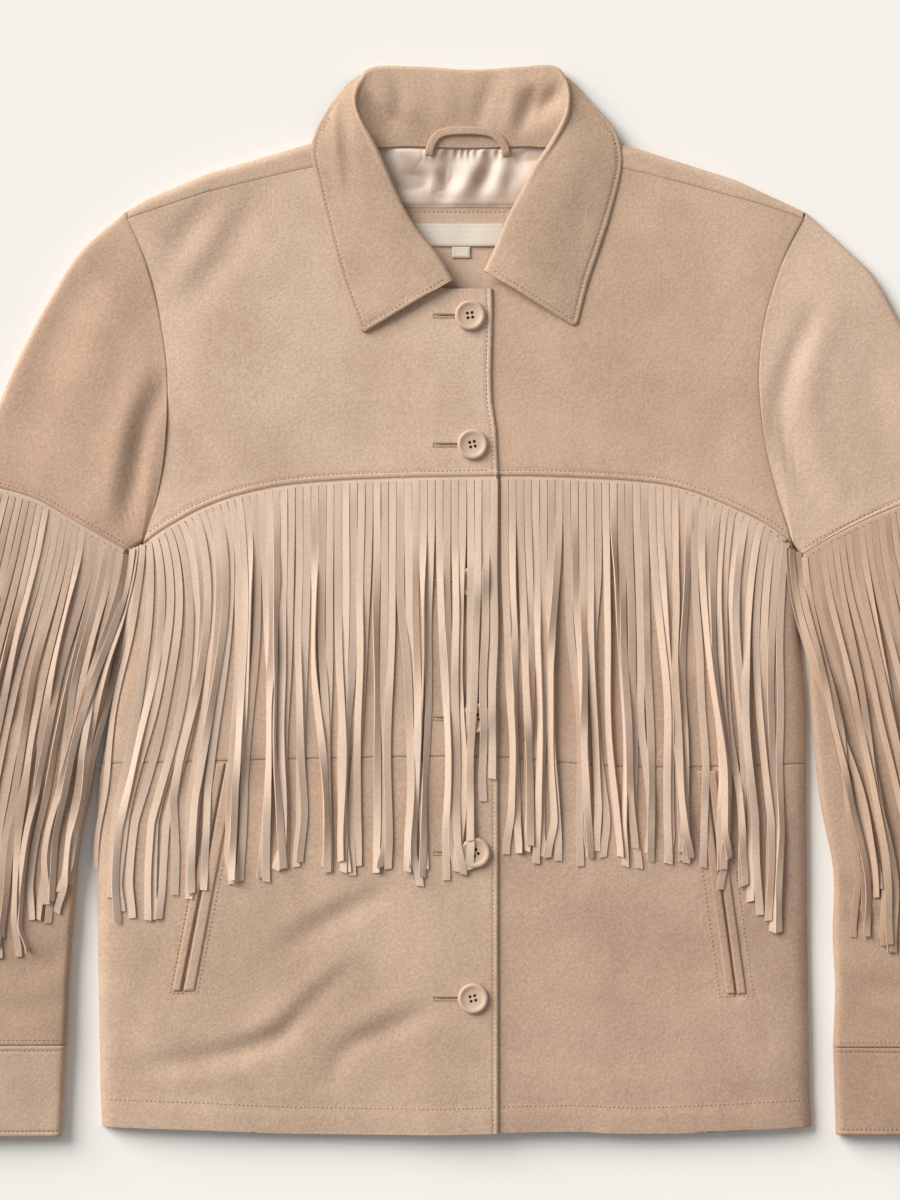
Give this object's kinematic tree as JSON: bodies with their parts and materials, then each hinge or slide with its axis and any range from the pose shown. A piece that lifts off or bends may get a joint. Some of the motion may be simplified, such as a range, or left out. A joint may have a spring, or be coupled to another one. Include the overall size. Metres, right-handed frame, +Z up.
{
  "type": "fringed suede jacket laid flat",
  "caption": "Waist-length suede jacket with a pointed collar, buttoned front and fringed yokes and sleeves, laid flat on its back",
  "frame": {"origin": "middle of the jacket's box, on the surface it lies on", "axes": "+Z up out of the fronts, +Y from hem to collar, +X towards the wearer's left sleeve"},
  "size_m": [0.747, 0.7074, 0.015],
  "materials": {
    "suede": "tan suede, soft matt nap with faint mottling",
    "satin": "champagne satin with a soft sheen",
    "label": "woven off-white tape, bare",
    "button": "tan, satin-matt, cast"
  },
  "bodies": {
    "root": {"back": "suede", "back_shoulder_right": "suede", "back_shoulder_left": "suede", "front_right_yoke": "suede", "front_right_chest": "suede", "front_right_skirt": "suede", "front_left_yoke": "suede", "front_left_chest": "suede", "front_left_skirt": "suede", "collar": "suede", "neck_facing": "suede", "hanger_loop": "suede", "sleeve_right_upper": "suede", "sleeve_right_lower": "suede", "cuff_right": "suede", "sleeve_left_upper": "suede", "sleeve_left_lower": "suede", "cuff_left": "suede", "fringe_front_right": "suede", "fringe_front_left": "suede", "fringe_sleeve_right": "suede", "fringe_sleeve_left": "suede", "welt_right_outer": "suede", "welt_right_inner": "suede", "welt_left_inner": "suede", "welt_left_outer": "suede", "neck_lining": "satin", "label": "label", "size_tab": "label", "button_1": "button", "button_2": "button", "button_3": "button", "button_4": "button", "button_5": "button", "button_6": "button"}
  },
  "joints": []
}
